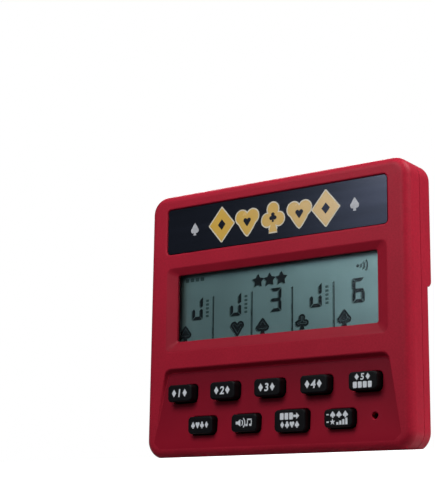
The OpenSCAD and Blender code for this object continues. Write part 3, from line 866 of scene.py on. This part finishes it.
# width of a digit's segments, its own size and slight shift, and the width of all thin lines
SEGMENT_W = 1.12
DIGIT_W = 4.35
DIGIT_H = 7.8
DIGIT_SHIFT = -0.15
LINE_W = 0.36
# band of each suit's outline, and how far inside it the filled shape begins
SUIT_BAND = 0.72
SUIT_FILL = 0.88
# heights of the rows of the display
FAINT_COLUMN_Z = 47.0
SUIT_Z = 41.8
DIVIDER_Z = 46.2
DIGIT_Z = 49.9
STAR_Z = 56.8
SOUND_Z = 57.6
FAINT_ROW_Z = 59.9
SOUND_X = 29.9


def mark(outline):
    """A dark display mark and the shadow that it drops on the glass behind it."""
    ink.fill(outline)
    shade.fill([(x + SHADE_X, z + SHADE_Z) for x, z in outline])


def segment(x, z, w, h, which):
    """One of the seven segments of a digit centred on x, z, named a to g as usual."""
    gap = 0.14
    half = SEGMENT_W / 2
    across = {"a": h / 2 - half, "g": 0.0, "d": -h / 2 + half}
    if which in across:
        mid = z + across[which]
        left = x - w / 2 + gap + 0.05
        right = x + w / 2 - gap - 0.05
        if which == "g":
            upper_edge = [(right, mid), (right - half, mid + half), (left + half, mid + half)]
            return [(left, mid), (left + half, mid - half), (right - half, mid - half), *upper_edge]
        out = half if which == "a" else -half
        inner_edge = [(left + SEGMENT_W, mid - out), (right - SEGMENT_W, mid - out)]
        return [(left, mid + out), *inner_edge, (right, mid + out)]
    side = 1 if which in "bc" else -1
    way = 1 if which in "bf" else -1
    mid_x = x + (w / 2 - half) * side
    outer_x = mid_x + side * half
    inner_x = mid_x - side * half
    end = z + (h / 2 - gap) * way
    mid = z + gap * way
    tip = mid + way * half
    inner_end = end - way * SEGMENT_W
    return [(outer_x, end), (outer_x, tip), (mid_x, mid), (inner_x, tip), (inner_x, inner_end)]


for x, segments in ((-31.9, "bcde"), (-16.2, "bcde"), (-0.4, "abcdg"), (14.8, "bcde"), (30.3, "acdefg")):
    for which in segments:
        mark(segment(x + DIGIT_SHIFT, DIGIT_Z, DIGIT_W, DIGIT_H, which))
for x in (-25.4, -9.8, 5.9, 21.3):
    mark(rect(x, DIVIDER_Z, LINE_W, 14.8))
# each card suit is an outline with a filled shape inside it
for name, x in (("spade", -37.0), ("heart", -15.6), ("spade", -5.6), ("club", 9.5), ("spade", 25.0)):
    suit = moved(SUITS[name], x, SUIT_Z, 5.5, 5.5 if name != "club" else 5.1)
    ink.ring(suit, grown(suit, -SUIT_BAND))
    ink.fill(grown(suit, -SUIT_FILL))
    shade.fill([(px + SHADE_X, pz + SHADE_Z) for px, pz in suit])
for x in (-7.5, -2.95, 1.6):
    mark(moved(star(0.54), x, STAR_Z, 4.9, 4.9))
# sound mark: a dot and three arcs
ink.fill(ring_of(SOUND_X, SOUND_Z, 0.5, 16))
for i in range(3):
    mark(arc_band(SOUND_X, SOUND_Z, 1.3 + 1.1 * i, LINE_W, 0.5))
# faint marks: a row of bars at the upper left, and columns of small bars beside three digits
for i in range(4):
    weak.fill(rect(-36.6 + 2.1 * i, FAINT_ROW_Z, 1.5, 1.3))
for x in (-28.0, -12.3, 18.7):
    for i in range(5):
        weak.fill(rect(x, FAINT_COLUMN_Z + 1.3 * i, 1.15, 0.8))
ink.piece("display_marks", "segment", "case", "lcd_glass")
weak.piece("display_faint_marks", "faint", "case", "lcd_glass")
shade.piece("display_shadows", "segment_shadow", "case", "lcd_glass")


# ---- key legends ----

# a legend stands out from the key's top by the first and reaches into it by the second
LEGEND_OUT = 0.02
LEGEND_IN = 0.01
CARD_W = 1.35
CARD_R = 0.28
CARD_STEP = 1.7
SUIT_STEP = 1.8
ARC_HALF_ANGLE = 0.8


def numeral(text, x, z, height):
    """A printed numeral, slightly slanted, as points and faces."""
    curve = bpy.data.curves.new("numeral", "FONT")
    curve.body = text
    curve.size = 1.0
    curve.offset = 0.025
    curve.shear = 0.12
    curve.resolution_u = 4
    holder = bpy.data.objects.new("numeral", curve)
    bpy.context.scene.collection.objects.link(holder)
    mesh = bpy.data.meshes.new_from_object(holder.evaluated_get(bpy.context.evaluated_depsgraph_get()))
    bpy.data.objects.remove(holder)
    bpy.data.curves.remove(curve)
    points = [(v.co.x, v.co.y) for v in mesh.vertices]
    faces = [tuple(p.vertices) for p in mesh.polygons]
    bpy.data.meshes.remove(mesh)
    left, right = min(p[0] for p in points), max(p[0] for p in points)
    foot, top = min(p[1] for p in points), max(p[1] for p in points)
    k = height / (top - foot)
    flat = [(x + (px - (left + right) / 2) * k, z + (pz - (foot + top) / 2) * k) for px, pz in points]
    return flat, faces


def add_numeral(legend, text, x, z, height):
    """Adds a numeral's front face to a legend."""
    flat, faces = numeral(text, x, z, height)
    ids = legend.skin.add(with_depth(flat, legend.front))
    legend.skin.faces += [tuple(ids[i] for i in face) for face in faces]


def card(x, z, h):
    return rounded_rect(x, z, CARD_W, h, CARD_R, 3)


def arrow(x, z, w, h):
    """Arrow to the right, with its head in the right half."""
    shaft = h * 0.17
    head = [(x, z - h / 2), (x + w / 2, z), (x, z + h / 2)]
    return [(x - w / 2, z - shaft), (x, z - shaft), *head, (x, z + shaft), (x - w / 2, z + shaft)]


def loudspeaker(x, z):
    """Loudspeaker that opens to the right, with its back at x."""
    front = [(x + 1.8, z - 1.15), (x + 1.8, z + 1.15)]
    return [(x, z - 0.45), (x + 0.8, z - 0.45), *front, (x + 0.8, z + 0.45), (x, z + 0.45)]


for key_name in KEY_BODIES:
    x, z, w, h, top_d = key_top[key_name]
    legend = Print(top_d - LEGEND_OUT, top_d + LEGEND_IN)
    if key_name in ("key_1", "key_2", "key_3", "key_4"):
        for side in (-1, 1):
            legend.fill(moved(SUITS["diamond"], x + side * 2.2, z, 2.1, 2.6))
        add_numeral(legend, key_name[-1], x, z, 2.6)
    elif key_name == "key_5":
        for side in (-1, 1):
            legend.fill(moved(SUITS["diamond"], x + side * 1.9, z + 1.2, 1.8, 2.0))
        add_numeral(legend, "5", x, z + 1.2, 2.0)
        for i in range(4):
            legend.fill(card(x - 2.55 + CARD_STEP * i, z - 1.2, 1.9))
    elif key_name == "key_game":
        for i, suit in enumerate(("spade", "heart", "club", "diamond")):
            legend.fill(moved(SUITS[suit], x - 2.7 + SUIT_STEP * i, z, 1.65, 2.2))
    elif key_name == "key_sound":
        legend.fill(loudspeaker(x - 3.0, z))
        legend.fill(arc_band(x - 1.5, z, 1.15, LINE_W, ARC_HALF_ANGLE))
        legend.fill(arc_band(x - 1.5, z, 2.0, LINE_W, ARC_HALF_ANGLE))
        # two notes joined by a beam
        for note_x in (1.5, 3.0):
            legend.fill(moved(ring_of(0, 0, 1, 14), x + note_x - 0.35, z - 0.75, 1.0, 0.8))
            legend.fill(rect(x + note_x, z + 0.15, 0.32, 1.9))
        legend.fill([(x + 1.34, z + 0.75), (x + 3.16, z + 0.75), (x + 3.16, z + 1.2), (x + 1.34, z + 1.2)])
    elif key_name == "key_deal":
        for i in range(3):
            legend.fill(card(x - 2.8 + CARD_STEP * i, z + 1.3, 2.1))
        legend.fill(arrow(x + 2.5, z + 1.3, 2.2, 2.1))
        for i, suit in enumerate(("diamond", "club", "heart", "spade")):
            legend.fill(moved(SUITS[suit], x - 2.65 + SUIT_STEP * i, z - 1.3, 1.75, 2.1))
    else:
        legend.fill(rect(x - 3.5, z + 1.1, 0.8, 0.4))
        for i in range(3):
            legend.fill(moved(SUITS["spade"], x - 1.7 + 2.2 * i, z + 1.1, 2.0, 2.0))
        legend.fill(rect(x - 3.5, z - 1.15, 0.8, 0.4))
        legend.fill(moved(star(0.42), x - 1.8, z - 1.15, 2.0, 2.0))
        for i in range(4):
            tall = 0.8 + 0.4 * i
            legend.fill(rect(x - 0.1 + 1.05 * i, z - 2.05 + tall / 2, 0.75, tall))
    legend.piece(f"{key_name}_legend", "ink_white", key_name, "key_rubber")


# ---- stage, light and camera ----


def stage_block(name, low, high, material, front_material):
    """A block whose front face, towards -y, has its own material."""
    mesh = bpy.data.meshes.new(name)
    bm = bmesh.new()
    bmesh.ops.create_cube(bm, size=1.0)
    for v in bm.verts:
        v.co = Vector(high[i] if v.co[i] > 0 else low[i] for i in range(3))
    bm.normal_update()
    for face in bm.faces:
        face.material_index = 1 if face.normal.y < -0.5 else 0
    bm.to_mesh(mesh)
    bm.free()
    mesh.materials.append(material)
    mesh.materials.append(front_material)
    block = bpy.data.objects.new(name, mesh)
    bpy.context.scene.collection.objects.link(block)


def pale(name, colour, glow):
    """Plain pale material that may shine by itself."""
    material, graph = tree(name)
    out = add(graph, "ShaderNodeOutputMaterial")
    shader = add(graph, "ShaderNodeBsdfPrincipled", Base_Color=rgba(colour), Roughness=0.7)
    shader.inputs["Emission Color"].default_value = (1, 1, 1, 1)
    shader.inputs["Emission Strength"].default_value = glow
    graph.links.new(shader.outputs[0], out.inputs[0])
    return material


# The photograph looks up at the object from below the level that it stands on, so it stands at the front edge
# of a counter.
COUNTER_LOW = (-0.5, (FACE - 0.1) * MM, -0.2)
COUNTER_HIGH = (0.5, 0.7, 0.0)
counter_top = pale("pale_counter", (0.45, 0.45, 0.45), 0.0)
counter_front = pale("pale_front", (0.8, 0.8, 0.8), 1.0)
stage_block("counter", COUNTER_LOW, COUNTER_HIGH, counter_top, counter_front)

world = bpy.data.worlds.new("studio")
bpy.context.scene.world = world
world.use_nodes = True
graph = world.node_tree
for node in list(graph.nodes):
    graph.nodes.remove(node)
out = add(graph, "ShaderNodeOutputWorld")
where = add(graph, "ShaderNodeTexCoord").outputs["Generated"]


def glow_towards(direction, sharpness, strength):
    """Soft light that falls off with the angle from a direction."""
    aim = Vector(direction).normalized()
    dot = add(graph, "ShaderNodeVectorMath", operation="DOT_PRODUCT")
    graph.links.new(where, dot.inputs[0])
    dot.inputs[1].default_value = aim
    clip = add(graph, "ShaderNodeMath", operation="MAXIMUM")
    graph.links.new(dot.outputs["Value"], clip.inputs[0])
    clip.inputs[1].default_value = 0.0
    power = add(graph, "ShaderNodeMath", operation="POWER")
    graph.links.new(clip.outputs[0], power.inputs[0])
    power.inputs[1].default_value = sharpness
    scale = add(graph, "ShaderNodeMath", operation="MULTIPLY")
    graph.links.new(power.outputs[0], scale.inputs[0])
    scale.inputs[1].default_value = strength
    return scale.outputs[0]


# light from all round, and a little more from the front left
BASE_LIGHT = 0.12
GLOW_FROM = (-0.36, -0.93, 0.287)
GLOW_SHARPNESS = 4.0
GLOW_STRENGTH = 0.03
strength = add(graph, "ShaderNodeMath", operation="ADD")
strength.inputs[0].default_value = BASE_LIGHT
graph.links.new(glow_towards(GLOW_FROM, GLOW_SHARPNESS, GLOW_STRENGTH), strength.inputs[1])
lighting = add(graph, "ShaderNodeBackground", Color=(0.78, 0.88, 1.0, 1))
graph.links.new(strength.outputs[0], lighting.inputs["Strength"])
seen = add(graph, "ShaderNodeBackground", Color=(1, 1, 1, 1), Strength=1.0)
path = add(graph, "ShaderNodeLightPath")
mix = add(graph, "ShaderNodeMixShader")
graph.links.new(path.outputs["Is Camera Ray"], mix.inputs[0])
graph.links.new(lighting.outputs[0], mix.inputs[1])
graph.links.new(seen.outputs[0], mix.inputs[2])
graph.links.new(mix.outputs[0], out.inputs[0])


def soft_light(name, place_m, aim_m, size, power, colour=(1, 1, 1)):
    """A rectangular lamp at a place, turned towards a point, in metres and watts."""
    data = bpy.data.lights.new(name, "AREA")
    data.shape = "RECTANGLE"
    data.size, data.size_y = size
    data.energy = power
    data.color = colour
    lamp = bpy.data.objects.new(name, data)
    lamp.location = place_m
    lamp.rotation_mode = "QUATERNION"
    lamp.rotation_quaternion = (Vector(aim_m) - Vector(place_m)).to_track_quat("-Z", "Y")
    bpy.context.scene.collection.objects.link(lamp)


# points that the lamps are turned to
MIDDLE = (0.0, 0.0, 0.05)
RIGHT_OF_MIDDLE = (0.04, 0.0, 0.05)
soft_light("near_top", (-0.02, -0.255, 0.255), MIDDLE, (0.2, 0.18), 0.83)
soft_light("right_side", (0.65, 0.12, 0.85), RIGHT_OF_MIDDLE, (0.6, 0.6), 14.8)
# the mirrored patch of light that makes the display and the banner paler towards the right
soft_light("window", (-0.36, -1.06, 0.42), MIDDLE, (0.44, 0.40), 0.88, (0.76, 0.86, 1.0))
soft_light("back_fill", (-0.6, 0.8, 0.6), MIDDLE, (0.6, 0.6), 8.0)

# the camera stands where the photograph was taken from
CAMERA_PLACE = (0.22718, -0.34872, -0.02784)
CAMERA_TURN_DEGREES = (102.898, -0.813, 35.799)
CAMERA_LENS = 94.55
camera_data = bpy.data.cameras.new("view")
camera_data.lens = CAMERA_LENS
camera_data.sensor_width = 36.0
camera_data.sensor_fit = "AUTO"
camera_data.clip_start = 0.01
camera_data.clip_end = 20.0
camera = bpy.data.objects.new("view", camera_data)
camera.location = CAMERA_PLACE
camera.rotation_euler = [math.radians(angle) for angle in CAMERA_TURN_DEGREES]
bpy.context.scene.collection.objects.link(camera)
bpy.context.scene.camera = camera
bpy.context.scene.view_settings.view_transform = "Standard"
